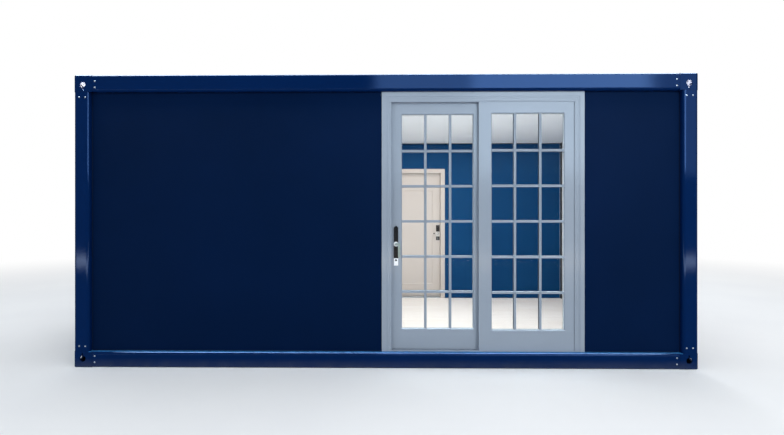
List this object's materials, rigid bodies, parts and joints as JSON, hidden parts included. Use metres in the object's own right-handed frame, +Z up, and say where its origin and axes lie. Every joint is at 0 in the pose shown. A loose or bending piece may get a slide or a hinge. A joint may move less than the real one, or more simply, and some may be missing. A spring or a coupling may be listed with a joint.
{
  "type": "container cabin with a sliding glass door",
  "caption": "Container cabin: bolted steel frame with hollow corner castings, recessed panel walls, a glazed sliding door in front and a hinged door behind.",
  "frame": {"origin": "on the ground under the middle of the cabin", "axes": "+X along the length to the right seen from the front, +Y to the rear wall, +Z up"},
  "size_m": [5.95, 3, 2.8],
  "materials": {
    "frame_blue": "gloss",
    "wall_navy": "satin",
    "door_grey_blue": "gloss",
    "clear_glass": "gloss",
    "polished_steel": "polished",
    "satin_steel": "satin",
    "roller_nylon": "matte",
    "door_white": "satin",
    "floor_board": "satin",
    "ceiling_white": "matte",
    "roof_steel": "satin",
    "galvanised": "satin"
  },
  "bodies": {
    "cabin": {"casting_top_front_left": "frame_blue", "casting_top_front_right": "frame_blue", "casting_top_rear_left": "frame_blue", "casting_top_rear_right": "frame_blue", "casting_bottom_front_left": "frame_blue", "casting_bottom_front_right": "frame_blue", "casting_bottom_rear_left": "frame_blue", "casting_bottom_rear_right": "frame_blue", "post_front_left": "frame_blue", "post_front_right": "frame_blue", "post_rear_left": "frame_blue", "post_rear_right": "frame_blue", "top_rail_front": "frame_blue", "top_rail_rear": "frame_blue", "top_rail_left": "frame_blue", "top_rail_right": "frame_blue", "bottom_rail_front": "frame_blue", "bottom_rail_rear": "frame_blue", "bottom_rail_left": "frame_blue", "bottom_rail_right": "frame_blue", "front_wall_left": "wall_navy", "front_wall_right": "wall_navy", "end_wall_left": "wall_navy", "end_wall_right": "wall_navy", "rear_wall_left": "wall_navy", "rear_wall_right": "wall_navy", "rear_wall_over_door": "wall_navy", "door_frame_left": "door_grey_blue", "door_frame_right": "door_grey_blue", "door_frame_head": "door_grey_blue", "door_frame_sill": "door_grey_blue", "fixed_leaf_frame": "door_grey_blue", "fixed_leaf_glass": "clear_glass", "rear_frame_hinge_side": "door_white", "rear_frame_lock_side": "door_white", "rear_frame_head": "door_white", "rear_threshold": "satin_steel", "rear_frame_hinges": "satin_steel", "floor_deck": "floor_board", "floor_joists": "galvanised", "roof_purlins": "galvanised", "roof_sheet": "roof_steel", "ceiling_panel": "ceiling_white", "corner_covers": "door_white"},
    "front_slider": {"slider_frame": "door_grey_blue", "slider_glass": "clear_glass", "slider_rollers": "roller_nylon", "slider_handle": "polished_steel"},
    "rear_door": {"rear_leaf": "door_white", "rear_leaf_hinges": "satin_steel", "rear_handle": "satin_steel"}
  },
  "joints": [
    {"name": "front_slide", "type": "slide", "parent": "cabin", "child": "front_slider", "axis": [1, 0, 0], "range_m": [0, 0.745]},
    {"name": "rear_hinge", "type": "hinge", "parent": "cabin", "child": "rear_door", "pos_m": [-0.0155, 1.47, 1.15], "axis": [0, 0, 1], "range_deg": [0, 90]}
  ]
}
